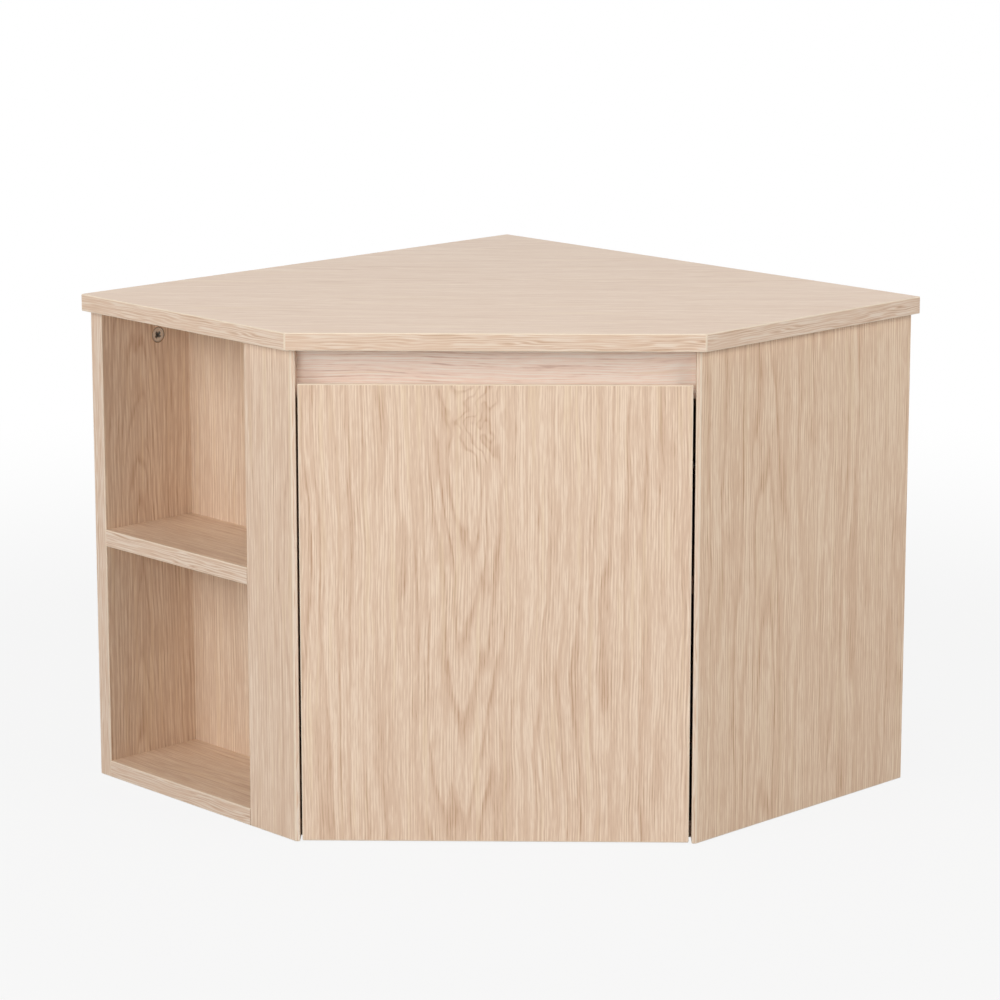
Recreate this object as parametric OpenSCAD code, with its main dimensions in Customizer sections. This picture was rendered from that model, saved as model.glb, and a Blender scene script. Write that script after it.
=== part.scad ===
// Corner vanity unit for hanging in the corner of a room: a five-sided top on a
// carcass of flat boards, an open niche in the left side and an inset door in front.
// +Z is up and the front faces -Y. X = 0 runs through the room's corner.
// The origin lies at the centre of the outline, on the underside of the carcass.
// Two distances place everything in plan: "out" is measured along a wall away from
// the room's corner, and "off" is measured square to that wall.

/* [Top and carcass] */
// Length of the top along each wall
wall_len = 550; // [530:5:650]
// Length of each short side of the top, square to the wall
side_len = 290; // [280:5:330]
// Height of the carcass under the top
body_h = 450; // [420:5:560]
// Thickness of every board
board = 16; // [15:0.5:18]
// Overhang of the top past the sides and the front
overhang = 10; // [4:1:16]

/* [Door] */
// Flat width of the mitred front ends of the sides
nose_w = 4; // [3:0.25:4.5]
// Gap beside the door's free edge
door_gap_free = 2; // [1.5:0.1:3]
// Gap beside the door's hinged edge
door_gap_hinge = 2.6; // [2.4:0.1:3.5]
// Height of the door's lower edge above the underside of the carcass
door_foot = 1; // [0.5:0.25:3]
// Height of the finger gap between the top and the door
finger_gap = 31; // [25:1:40]
// Depth of the flat part of the door's upper edge, in front of its bevel
grip_land = 3; // [2:0.5:6]
// Height of the rail behind the finger gap
rail_h = 47; // [40:1:60]

/* [Niche and shelves] */
// Depth of the niche from the left side to the partition
niche_depth = 104; // [90:1:130]
// Width of the post between the niche and the front corner
post_w = 63.4; // [50:0.2:75]
// Height of the underside of both shelves
shelf_z = 226; // [190:1:245]
// Gap around the loose shelf in the cupboard
shelf_gap = 0.8; // [0.5:0.1:0.9]

/* [Back boards] */
// Diameter of the holes for the wall screws
wall_hole_d = 6.5; // [5:0.5:8]
// Distance of the wall screws below the top
wall_hole_drop = 50; // [40:1:60]

/* [Hinges] */
// Distance of each hinge from the door's upper and lower ends
hinge_from_end = 80; // [70:1:100]
// Diameter of the hinge cups
cup_d = 35; // [34:0.5:36]
// Wood left between a hinge cup and the door's edge
cup_from_edge = 5; // [4.5:0.25:6]
// Depth of the bored seat of a hinge cup
cup_seat_depth = 12.5; // [12:0.25:13]
// Distance of the door's turning axis from its hinged edge
pivot_from_edge = 2; // [1.5:0.25:2.25]

/* [Fittings] */
// Diameter of the cam locks
cam_d = 15; // [14:0.5:16]
// Distance of a cam lock from the joint that it draws together
cam_reach = 30; // [26:1:34]
// Diameter of the shank of the cam bolts
bolt_d = 6; // [5:0.5:7]
// Diameter of the dowels
dowel_d = 8; // [6:0.5:8]
// Length of the dowels
dowel_len = 30; // [26:1:34]
// Diameter of the shelf pins
shelf_pin_d = 5; // [4:0.5:6]

/* [Hidden] */

// Fineness of circles
$fn = 48;
// Overrun of a cut past the face that it opens
cut = 1;
// Clearance of a loose fit, on each side
slack = 0.3;
// Clearance of a push fit, on each side
snug = 0.05;
// The boards, the steel and the plastic
oak = "#d6b896";
oak_edge = "#dfc6a4";
steel = "#b9bcbf";
dark_steel = "#8c8f92";
clear_plastic = "#e6e6e4";

// ---- Plan of the unit -------------------------------------------------------
// Outer faces of the sides, measured out along the walls
body_out = wall_len - overhang;
// Inner faces of the sides
inner_out = body_out - board;
// Front plane and middle of the plan, with the room's corner at y = mid_y
half_turn = sqrt(1 / 2);
mid_y = (wall_len + side_len) * half_turn / 2;
front_y = overhang - mid_y;
// Half width of the front at the outer corners and between the mitred ends
corner_x = body_out / half_turn - (mid_y - front_y);
mouth_x = corner_x - nose_w;
// Depth of the mitred cut, from the front to the inner face of a side
mitre_depth = board / half_turn - nose_w;
inner_y = front_y + mitre_depth;
// Where the front corners and the inner corners lie, measured off the wall
body_off = (mid_y - front_y) / half_turn - body_out;
inner_off = (mid_y - inner_y) / half_turn - inner_out;
// Edge of the post beside the niche, off the wall
niche_end = body_off - post_w;
// Faces of the niche's partition
niche_out = body_out - niche_depth;
cupboard_out = niche_out - board;

// Points along the left wall and the right wall
function left_at(out, off) = [(off - out) * half_turn, mid_y - (out + off) * half_turn];
function right_at(out, off) = [(out - off) * half_turn, mid_y - (out + off) * half_turn];
function at_height(point, z) = [point[0], point[1], z];
// Directions: away from the corner along a wall, and square off that wall
left_out = [-half_turn, -half_turn, 0];
left_off = [half_turn, -half_turn, 0];
right_out = [half_turn, -half_turn, 0];
right_off = [-half_turn, -half_turn, 0];
up = [0, 0, 1];
down = [0, 0, -1];
backward = [0, 1, 0];

// ---- Sizes that follow ------------------------------------------------------
mid_board = board / 2;
// Underside of the front rail and middle of the shelves
rail_z = body_h - rail_h;
shelf_mid = shelf_z + mid_board;
// Edges of the door, the depth of its bevel, and the gap behind it
door_left = -mouth_x + door_gap_free;
door_right = mouth_x - door_gap_hinge;
door_top = body_h - finger_gap;
grip_slope = board - grip_land;
back_gap = mitre_depth - board;

// ---- Places of the fittings -------------------------------------------------
// Measured out from the room's corner: cam locks and wall screws in the back boards
left_cam_outs = [81, 302];
right_cam_outs = [80, 460];
left_screw_outs = [173, 389];
right_screw_outs = [130, 410];
// Measured in from the left side's face: the cam lock that shows in the niche
niche_cam_in = 67;
// Measured off the right wall: cam locks at the side's two ends
side_cam_offs = [60, 220];
// Middles of the post and the niche
post_mid = (niche_end + board + inner_off) / 2;
niche_mid = (board + niche_end) / 2;
// Heights of the two rows of fittings in the upright joints
stage_low = body_h / 4;
stage_high = body_h - stage_low;
// Distance of a dowel from the cam lock or the end beside it
dowel_shift = 32;
// Distance of the front rail's dowels from its middle
rail_dowel_x = 96;
// Shelf pins: out along the left wall, off the right wall, off the left wall
left_pin_outs = [108, 356];
side_pin_offs = [50, 235];
partition_pin_off = 167;

// ---- Joints between the boards ----------------------------------------------
// Each joint is [point on the mating face at mid board, direction into the mating
// board, normal of the face that the cam lock shows on].
TOP_CAMS = [
    [at_height(left_at(body_out - niche_cam_in, mid_board), body_h), up, left_off],
    for (out = left_cam_outs)
        [at_height(left_at(out, mid_board), body_h), up, left_off],
    for (off = side_cam_offs)
        [at_height(right_at(inner_out + mid_board, off), body_h), up, -right_out],
    [at_height(left_at(inner_out + mid_board, post_mid), body_h), up, -left_out],
    [at_height(left_at(niche_out - mid_board, niche_mid), body_h), up, -left_out],
    for (out = right_cam_outs)
        [at_height(right_at(out, mid_board), body_h), up, right_off],
    [[0, inner_y + mid_board, body_h], up, backward]
];
BOTTOM_CAMS = [
    for (off = side_cam_offs)
        [at_height(right_at(inner_out, off), mid_board), right_out, down],
    for (out = left_cam_outs)
        [at_height(left_at(out, board), mid_board), -left_off, down],
    [at_height(left_at(inner_out, post_mid), mid_board), left_out, down],
    for (out = right_cam_outs)
        [at_height(right_at(out, board), mid_board), -right_off, down]
];
BACK_CAMS = [
    for (z = [stage_low, stage_high])
        for (end = [[inner_out, right_out], [board, -right_out]])
            [at_height(right_at(end[0], mid_board), z), end[1], right_off]
];
WALL_CAMS = [
    for (z = [stage_low, stage_high])
        [at_height(left_at(niche_out - mid_board, board), z), -left_off, -left_out]
];
CAMS = concat(TOP_CAMS, BOTTOM_CAMS, BACK_CAMS, WALL_CAMS);

// Dowels: [point on the mating face at mid board, direction into the mating board]
SHELF_DOWELS = [
    for (deep = [dowel_shift, niche_depth - dowel_shift])
        for (end = [[board, -left_off], [niche_end, left_off]])
            [at_height(left_at(body_out - deep, end[0]), shelf_mid), end[1]]
];
TOP_DOWELS = [
    [at_height(left_at(body_out - niche_cam_in - dowel_shift, mid_board), body_h), up],
    [at_height(left_at(left_cam_outs[0] + dowel_shift, mid_board), body_h), up],
    for (off = [side_cam_offs[0] + dowel_shift, side_cam_offs[1] - dowel_shift])
        [at_height(right_at(inner_out + mid_board, off), body_h), up],
    for (off = [niche_mid - dowel_shift, niche_mid + dowel_shift])
        [at_height(left_at(niche_out - mid_board, off), body_h), up],
    [at_height(left_at(body_out - niche_depth / 2, niche_end + mid_board), body_h), up],
    for (out = [right_cam_outs[0] + dowel_shift, right_cam_outs[1] - dowel_shift])
        [at_height(right_at(out, mid_board), body_h), up],
    for (x = [-rail_dowel_x, rail_dowel_x])
        [[x, inner_y + mid_board, body_h], up]
];
FLOOR_DOWELS = [
    for (off = [niche_mid - dowel_shift, niche_mid + dowel_shift])
        [at_height(left_at(niche_out - mid_board, off), board), down],
    [at_height(left_at(body_out - niche_depth / 2, niche_end + mid_board), board), down]
];
END_DOWELS = [
    for (z = [stage_low, stage_high])
        for (face = [[inner_out, left_out], [niche_out, -left_out]])
            [at_height(left_at(face[0], niche_end + mid_board), z), face[1]]
];
DOWELS = concat(SHELF_DOWELS, TOP_DOWELS, FLOOR_DOWELS, END_DOWELS);
// How much of a dowel sits in the mating board
dowel_bite = 10;
// Room past each end of a dowel and of a bolt's thread
dowel_room = 1;

// Cam lock: depth of its bore, its height, its slot for the bolt and its cross
cam_bore = 13;
cam_h = 12.4;
cam_slot_w = 7.4;
cross_w = 2;
cross_len = 8;
cross_depth = 2.5;
// Cam bolt: head, neck, thread, and the room around it in its channel
bolt_head_d = 6.8;
head_len = 2;
bolt_neck_d = 4;
bolt_neck_len = 4;
thread_d = 5;
thread_len = 10;
channel_room = 0.8;

// Wall screws: their height, and [point on the board's mid plane, direction out
// into the room]
wall_hole_z = body_h - wall_hole_drop;
LEFT_WALL_HOLES = [for (out = left_screw_outs) [left_at(out, mid_board), left_off]];
RIGHT_WALL_HOLES = [for (out = right_screw_outs) [right_at(out, mid_board), right_off]];

// Shelf pins: how deep they sit, how far they stand out, and their collars
shelf_pin_in = 8;
shelf_pin_out = 9;
shelf_pin_lip = 1.5;
shelf_pin_collar_d = shelf_pin_d + 2 * shelf_pin_lip;
shelf_pin_collar = 1.2;
shelf_pin_z = shelf_z - shelf_pin_d / 2 - snug;
// Each shelf pin is [point on the face, direction into the board]
SHELF_PINS = [
    for (out = left_pin_outs)
        [left_at(out, board), -left_off],
    for (off = side_pin_offs)
        [right_at(inner_out, off), right_out],
    [left_at(cupboard_out, partition_pin_off), left_out]
];

// ---- Hinges -----------------------------------------------------------------
// The hinges are drawn around the door's turning axis, at the front plane: x runs
// towards the right side, y runs back into the cupboard, z = 0 is the hinge's middle.
pivot_x = door_right - pivot_from_edge;
HINGE_Z = [door_foot + hinge_from_end, door_top - hinge_from_end];
// Cup: its middle, wall and floor, its round flange and the two ears
cup_x = pivot_from_edge - cup_from_edge - cup_d / 2;
cup_wall = 0.8;
cup_floor_gap = 0.2;
cup_floor_y = board - cup_seat_depth + cup_floor_gap;
flange_t = 1;
flange_lip = 1;
flange_d = cup_d + 2 * flange_lip;
ear_w = 13;
ear_z = 24;
// With the door closed: the pin in the cup, the link's bend and the arm's cheeks,
// as distances from the turning axis and up from the floor of the cup
link_pin = [-7, cup_floor_y + 8.9];
link_bend = [-10, cup_floor_y + 3.7];
cheek_mid = [-28.8, cup_floor_y + 4.5];
// Link: its pin, eye, height, and the width of its crank and of its straight tail
link_pin_d = 2.4;
link_eye_d = 4.2;
link_h = 7.2;
link_w = 3;
link_tail_w = 4.6;
// How far the link's straight tail reaches from the pin
link_tail_near = 15.6;
link_tail_far = 23.5;
// Cheeks: gap from the hinge's middle, thickness, width, and the rivets on them
cheek_z = 4;
cheek_t = 1.6;
cheek_d = 4.6;
rivet_d = 3;
rivet_t = 0.5;
// The arm's neck: from above the cheeks to the bend beside the mounting plate
neck_y = board + 4.6;
neck_w = 2.4;
arm_h = 12;
// Along the inner face of the right side: back from its front end, and off the face
inner_corner = [mouth_x - pivot_x, mitre_depth];
function face_at(back, off) = inner_corner + (back * [1, 1] + off * [-1, 1]) * half_turn;
// Turn about z that points x square off that face
side_face_turn = 135;
// Arm: where its channel starts and ends, its distance off the face, and its walls
arm_start = 10;
arm_end = 72;
arm_off = 7.6;
arm_t = 2;
arm_flange = 5;
// Mounting plate: its middle, its wings and the block under the arm
plate_mid = 40;
plate_w = 18;
plate_z = 22;
plate_t = 2;
block_len = 34;
block_w = 8;
block_h = arm_off - arm_t / 2 - slack;
// Screws in a plate's wings, off the hinge's middle, and in an arm, back from the end
plate_screw_z = 16;
ARM_SCREWS = [24, 62];

// Screws: shank, pan head and the cross slots in it
screw_d = 3.5;
screw_head_d = 6.6;
screw_len = 11;
screw_head_h = 1.6;
drive_w = 1;
drive_len = 3.6;
drive_depth = 1;

// Bumpers that the closed door leans on, in from its edges: [x, z]
bumper_d = 9;
bumper_t = back_gap - slack;
bumper_in = 14;
BUMPERS = [
    [door_left + bumper_in, door_foot + mid_board],
    [door_right - bumper_in, door_foot + mid_board],
    [door_left + bumper_in, shelf_mid]
];

// ---- Shapes used again ------------------------------------------------------
// A flat board that stands on its outline, from z to z + height
module slab(outline, z, height) {
    translate([0, 0, z])
        linear_extrude(height)
            polygon(outline);
}

// Puts its children at a point, with x along one direction and z along another
module placed(point, along, normal) {
    side = cross(normal, along);
    multmatrix([
        [along[0], side[0], normal[0], point[0]],
        [along[1], side[1], normal[1], point[1]],
        [along[2], side[2], normal[2], point[2]],
        [0, 0, 0, 1]
    ])
        children();
}

// A cylinder along x, from start to end
module rod(d, start, end) {
    translate([start, 0, 0])
        rotate([0, 90, 0])
            cylinder(d = d, h = end - start);
}

// The bores of one cam joint, with x = 0 at the mating face
module cam_joint_bores() {
    translate([-cam_reach, 0, mid_board - cam_bore])
        cylinder(d = cam_d, h = cam_bore + cut);
    rod(bolt_d + 2 * channel_room, -cam_reach, 0);
    rod(thread_d, -cut, thread_len);
}

// The bores of the listed cam joints
module cam_bores(joints) {
    for (joint = joints)
        placed(joint[0], joint[1], joint[2])
            cam_joint_bores();
}

// Any direction that is square to the given one
function square_to(along) = abs(along[2]) > half_turn ? [1, 0, 0] : up;

// The bores of the listed dowels
module dowel_bores(joints) {
    for (joint = joints)
        placed(joint[0], joint[1], square_to(joint[1]))
            rod(dowel_d, dowel_bite - dowel_len - dowel_room, dowel_bite + dowel_room);
}

// Holes through a back board for the wall screws
module wall_holes(places) {
    for (place = places)
        placed(at_height(place[0], wall_hole_z), place[1], up)
            rod(wall_hole_d, -board, board);
}

// Blind holes for the shelf pins
module shelf_pin_holes() {
    for (pin = SHELF_PINS)
        placed(at_height(pin[0], shelf_pin_z), pin[1], up)
            rod(shelf_pin_d, -cut, shelf_pin_in);
}

// Two crossed slots in a screw or cam face at z = 0
module cross_slots(width, length, depth) {
    for (turn = [0, 90])
        rotate([0, 0, turn])
            translate([-length / 2, -width / 2, -depth])
                cube([length, width, depth + cut]);
}

// A flat bar with round ends between two points of the plan
module bar(from, to, width) {
    run = to - from;
    for (end = [from, to])
        translate(end)
            circle(d = width);
    translate(from)
        rotate(atan2(run[1], run[0]))
            translate([0, -width / 2])
                square([norm(run), width]);
}

// Puts a hinge part on both hinges, around the door's turning axis
module at_hinges() {
    for (z = HINGE_Z)
        translate([pivot_x, front_y, z])
            children();
}

// Puts a part on the face of the right side, x off the face and y along it
module at_side_face(back) {
    spot = face_at(back, 0);
    translate([spot[0], spot[1], 0])
        rotate([0, 0, side_face_turn])
            children();
}

// A screw along x with its head at x = 0 and its tip at x = screw_len
module screw() {
    difference() {
        union() {
            rod(screw_d, 0, screw_len);
            rod(screw_head_d, -screw_head_h, 0);
        }
        translate([-screw_head_h, 0, 0])
            rotate([0, -90, 0])
                cross_slots(drive_w, drive_len, drive_depth);
    }
}

// ---- Boards -----------------------------------------------------------------
module top_panel() {
    color(oak)
        difference() {
            slab([left_at(0, 0), left_at(wall_len, 0), left_at(wall_len, side_len),
                  right_at(wall_len, side_len), right_at(wall_len, 0)], body_h, board);
            cam_bores(TOP_CAMS);
            dowel_bores(TOP_DOWELS);
        }
}

// The floor of the niche and the cupboard; it steps back around the front post
module bottom_panel() {
    color(oak)
        difference() {
            slab([left_at(board, board), left_at(body_out, board), left_at(body_out, niche_end),
                  left_at(inner_out, niche_end), left_at(inner_out, inner_off),
                  right_at(inner_out, inner_off), right_at(inner_out, board)], 0, board);
            cam_bores(BOTTOM_CAMS);
            dowel_bores(FLOOR_DOWELS);
        }
}

// Full board along the left wall; its front end shows beside the niche
module back_left_panel() {
    color(oak)
        difference() {
            slab([left_at(0, 0), left_at(body_out, 0), left_at(body_out, board),
                  left_at(board, board), left_at(0, board)], 0, body_h);
            cam_bores(CAMS);
            dowel_bores(SHELF_DOWELS);
            dowel_bores(TOP_DOWELS);
            wall_holes(LEFT_WALL_HOLES);
            shelf_pin_holes();
        }
}

// Full board along the right wall, between the left board and the right side
module back_right_panel() {
    color(oak)
        difference() {
            slab([right_at(board, 0), right_at(inner_out, 0), right_at(inner_out, board),
                  right_at(board, board)], 0, body_h);
            cam_bores(CAMS);
            dowel_bores(TOP_DOWELS);
            wall_holes(RIGHT_WALL_HOLES);
        }
}

// The right side; its front end has a narrow flat nose, then a cut straight back
module right_side_panel() {
    color(oak)
        difference() {
            slab([right_at(body_out, 0), right_at(body_out, body_off), [mouth_x, front_y],
                  right_at(inner_out, inner_off), right_at(inner_out, 0)], 0, body_h);
            cam_bores(CAMS);
            dowel_bores(TOP_DOWELS);
            shelf_pin_holes();
            at_hinges()
                plate_screw_places()
                    rod(screw_d, -plate_t - cut, screw_len);
        }
}

// The post between the niche and the door, with the same front end
module front_post() {
    color(oak)
        difference() {
            slab([left_at(body_out, niche_end), left_at(body_out, body_off), [-mouth_x, front_y],
                  left_at(inner_out, inner_off), left_at(inner_out, niche_end)], 0, body_h);
            cam_bores(TOP_CAMS);
            cam_bores(BOTTOM_CAMS);
            dowel_bores(END_DOWELS);
        }
}

// Closes the niche behind the post
module niche_end_panel() {
    color(oak)
        difference() {
            slab([left_at(inner_out, niche_end), left_at(inner_out, niche_end + board),
                  left_at(niche_out, niche_end + board), left_at(niche_out, niche_end)],
                 board, body_h - board);
            dowel_bores(DOWELS);
        }
}

// Parts the niche from the cupboard
module partition_panel() {
    color(oak)
        difference() {
            slab([left_at(niche_out, board), left_at(niche_out, niche_end + board),
                  left_at(cupboard_out, niche_end + board), left_at(cupboard_out, board)],
                 board, body_h - board);
            cam_bores(TOP_CAMS);
            cam_bores(WALL_CAMS);
            dowel_bores(TOP_DOWELS);
            dowel_bores(FLOOR_DOWELS);
            dowel_bores(END_DOWELS);
            shelf_pin_holes();
        }
}

module niche_shelf() {
    color(oak)
        difference() {
            slab([left_at(body_out, board), left_at(body_out, niche_end),
                  left_at(niche_out, niche_end), left_at(niche_out, board)], shelf_z, board);
            dowel_bores(SHELF_DOWELS);
        }
}

// Loose shelf on pins, cut to the cupboard's plan with a gap all round
module cupboard_shelf() {
    wall = board + shelf_gap;
    side = inner_out - shelf_gap;
    front_off = inner_off + shelf_gap;
    post_end = niche_end + board + shelf_gap;
    partition = cupboard_out - shelf_gap;
    color(oak)
        slab([left_at(wall, wall), left_at(partition, wall), left_at(partition, post_end),
              left_at(side, post_end), left_at(side, front_off), right_at(side, front_off),
              right_at(side, wall)], shelf_z, board);
}

// Rail behind the finger gap; its ends are mitred against the sides
module front_rail() {
    color(oak)
        difference() {
            slab([left_at(inner_out, inner_off), right_at(inner_out, inner_off),
                  [mouth_x + board, inner_y + board], [-mouth_x - board, inner_y + board]],
                 rail_z, rail_h);
            cam_bores(TOP_CAMS);
            dowel_bores(TOP_DOWELS);
        }
}

// Inset door; its upper edge slopes down behind a narrow land as a finger pull
module door() {
    color(oak)
        difference() {
            translate([door_left, front_y, door_foot])
                rotate([90, 0, 90])
                    linear_extrude(door_right - door_left)
                        polygon([[0, 0], [board, 0], [board, door_top - door_foot - grip_slope],
                                 [grip_land, door_top - door_foot], [0, door_top - door_foot]]);
            at_hinges() {
                translate([cup_x, board - cup_seat_depth, 0])
                    rotate([-90, 0, 0])
                        cylinder(d = cup_d, h = cup_seat_depth + cut);
                cup_screw_places()
                    rod(screw_d, -cut, screw_len);
            }
        }
}

// ---- Hinges -----------------------------------------------------------------
// Screw places in the ears of a cup's flange, pointing into the door
module cup_screw_places() {
    for (side = [-1, 1])
        translate([cup_x, board + flange_t, side * ear_z])
            rotate([0, 0, -90])
                children();
}

// Screw places in the wings of a mounting plate, pointing into the side
module plate_screw_places() {
    at_side_face(plate_mid)
        for (side = [-1, 1])
            translate([plate_t, 0, side * plate_screw_z])
                rotate([0, 0, 180])
                    children();
}

// Steel cups let into the door, with their flanges and the pins of the links
module hinge_cups() {
    shell_d = cup_d - 2 * snug;
    inner_d = shell_d - 2 * cup_wall;
    pin_reach = sqrt(pow(shell_d / 2, 2) - pow(link_pin[0] - cup_x + link_pin_d / 2, 2)) - slack;
    color(steel)
        at_hinges() {
            difference() {
                union() {
                    translate([cup_x, cup_floor_y, 0])
                        rotate([-90, 0, 0])
                            cylinder(d = shell_d, h = board - cup_floor_y);
                    translate([cup_x, board, 0])
                        rotate([-90, 0, 0])
                            cylinder(d = flange_d, h = flange_t);
                    translate([cup_x - ear_w / 2, board, -ear_z])
                        cube([ear_w, flange_t, 2 * ear_z]);
                    for (side = [-1, 1])
                        translate([cup_x, board, side * ear_z])
                            rotate([-90, 0, 0])
                                cylinder(d = ear_w, h = flange_t);
                }
                translate([cup_x, cup_floor_y + cup_wall, 0])
                    rotate([-90, 0, 0])
                        cylinder(d = inner_d, h = board);
                cup_screw_places()
                    rod(screw_d + 2 * snug, -cut, screw_len);
            }
            translate([link_pin[0], link_pin[1], -pin_reach])
                cylinder(d = link_pin_d, h = 2 * pin_reach);
        }
}

// Cranked links: pinned in the cups, their tails run between the cheeks of the arms
module hinge_links() {
    run = (cheek_mid - link_pin) / norm(cheek_mid - link_pin);
    tail_near = link_pin + run * link_tail_near;
    tail_far = link_pin + run * link_tail_far;
    color(dark_steel)
        at_hinges()
            translate([0, 0, -link_h / 2])
                difference() {
                    linear_extrude(link_h) {
                        translate(link_pin)
                            circle(d = link_eye_d);
                        bar(link_pin, link_bend, link_w);
                        bar(link_bend, tail_near, link_w);
                        bar(tail_near, tail_far, link_tail_w);
                    }
                    translate([link_pin[0], link_pin[1], -cut])
                        cylinder(d = link_pin_d + 2 * snug, h = link_h + 2 * cut);
                }
}

// Arms: a channel over the mounting plate, a cranked neck and two cheeks in the cup
module hinge_arms() {
    knee = face_at(arm_start, arm_off);
    neck_end = [cheek_mid[0], neck_y];
    color(steel)
        at_hinges() {
            for (side = [-1, 1])
                translate([0, 0, side > 0 ? cheek_z : -cheek_z - cheek_t])
                    linear_extrude(cheek_t)
                        bar(cheek_mid, neck_end, cheek_d);
            for (side = [-1, 1])
                translate([cheek_mid[0], cheek_mid[1],
                           side > 0 ? cheek_z + cheek_t : -cheek_z - cheek_t - rivet_t])
                    cylinder(d = rivet_d, h = rivet_t);
            translate([0, 0, -arm_h / 2])
                linear_extrude(arm_h)
                    bar(neck_end, knee, neck_w);
            at_side_face(arm_start)
                difference() {
                    union() {
                        translate([arm_off - arm_t / 2, arm_start - arm_end, -arm_h / 2])
                            cube([arm_t, arm_end - arm_start, arm_h]);
                        for (z = [-arm_h / 2, arm_h / 2 - arm_t / 2])
                            translate([arm_off - arm_flange, arm_start - arm_end, z])
                                cube([arm_flange, arm_end - arm_start, arm_t / 2]);
                    }
                    for (back = ARM_SCREWS)
                        translate([0, arm_start - back, 0])
                            rod(screw_d + 2 * snug, 0, arm_off + arm_t);
                }
        }
}

// Mounting plates: wings screwed to the side and a block that carries the arm
module mounting_plates() {
    color(dark_steel)
        at_hinges()
            difference() {
                at_side_face(plate_mid) {
                    translate([0, -plate_w / 2, -plate_z])
                        cube([plate_t, plate_w, 2 * plate_z]);
                    translate([0, -block_len / 2, -block_w / 2])
                        cube([block_h, block_len, block_w]);
                }
                plate_screw_places()
                    rod(screw_d + 2 * snug, -cut, screw_len);
            }
}

module cup_screws() {
    color(steel)
        at_hinges()
            cup_screw_places()
                screw();
}

module plate_screws() {
    color(steel)
        at_hinges()
            plate_screw_places()
                screw();
}

// Screws through the arm: one fixes it and one sets the door sideways
module arm_screws() {
    color(dark_steel)
        at_hinges()
            for (back = ARM_SCREWS)
                at_side_face(back)
                    translate([arm_off + arm_t / 2, 0, 0])
                        rotate([0, 0, 180])
                            difference() {
                                union() {
                                    rod(screw_head_d, -screw_head_h, 0);
                                    rod(screw_d, 0, arm_t);
                                }
                                translate([-screw_head_h, 0, 0])
                                    rotate([0, -90, 0])
                                        cross_slots(drive_w, drive_len, drive_depth);
                            }
}

// ---- Small fittings ---------------------------------------------------------
// Soft discs on the back of the door
module door_bumpers() {
    color(clear_plastic)
        for (spot = BUMPERS)
            translate([spot[0], front_y + board, spot[1]])
                rotate([-90, 0, 0])
                    cylinder(d = bumper_d, h = bumper_t);
}

// Cam locks, turned by the cross in their face, with a slot for the bolt's head
module cam_locks() {
    color(dark_steel)
        for (joint = CAMS)
            placed(joint[0], joint[1], joint[2])
                translate([-cam_reach, 0, 0])
                    difference() {
                        translate([0, 0, mid_board - cam_h])
                            cylinder(d = cam_d - 2 * snug, h = cam_h);
                        translate([-cam_slot_w / 2, -cam_slot_w / 2, -cam_slot_w / 2])
                            cube([cam_d, cam_slot_w, cam_slot_w]);
                        translate([0, 0, mid_board])
                            cross_slots(cross_w, cross_len, cross_depth);
                    }
}

// Bolts screwed into the mating board, with a neck and a head held by the cam
module cam_bolts() {
    color(steel)
        for (joint = CAMS)
            placed(joint[0], joint[1], joint[2]) {
                rod(thread_d - 2 * snug, 0, thread_len - dowel_room);
                rod(bolt_d, bolt_neck_len + head_len - cam_reach, 0);
                rod(bolt_neck_d, head_len - cam_reach, bolt_neck_len + head_len - cam_reach);
                rod(bolt_head_d, -cam_reach, head_len - cam_reach);
            }
}

module dowels() {
    color(oak_edge)
        for (joint = DOWELS)
            placed(joint[0], joint[1], square_to(joint[1]))
                rod(dowel_d - 2 * snug, dowel_bite - dowel_len, dowel_bite);
}

// Pins with a collar that carry the loose shelf
module shelf_pins() {
    color(steel)
        for (pin = SHELF_PINS)
            placed(at_height(pin[0], shelf_pin_z), pin[1], up) {
                rod(shelf_pin_d - 2 * snug, -shelf_pin_out, shelf_pin_in);
                intersection() {
                    rod(shelf_pin_collar_d, -shelf_pin_collar, 0);
                    translate([-shelf_pin_out, -shelf_pin_collar_d, -shelf_pin_collar_d])
                        cube([shelf_pin_out, 2 * shelf_pin_collar_d,
                              shelf_pin_collar_d + shelf_pin_d / 2]);
                }
            }
}

top_panel();
bottom_panel();
back_left_panel();
back_right_panel();
right_side_panel();
front_post();
niche_end_panel();
partition_panel();
niche_shelf();
cupboard_shelf();
front_rail();
door();
hinge_cups();
hinge_links();
hinge_arms();
mounting_plates();
cup_screws();
plate_screws();
arm_screws();
door_bumpers();
cam_locks();
cam_bolts();
dowels();
shelf_pins();
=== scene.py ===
"""Dresses a corner vanity unit: oak-effect boards with banded edges, cam locks, hinges
and a studio stage. It is laid out as an add-on and run as a script."""

import math

import bmesh
import bpy
from bpy.props import FloatProperty, FloatVectorProperty, PointerProperty
from mathutils import Matrix, Vector


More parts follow.
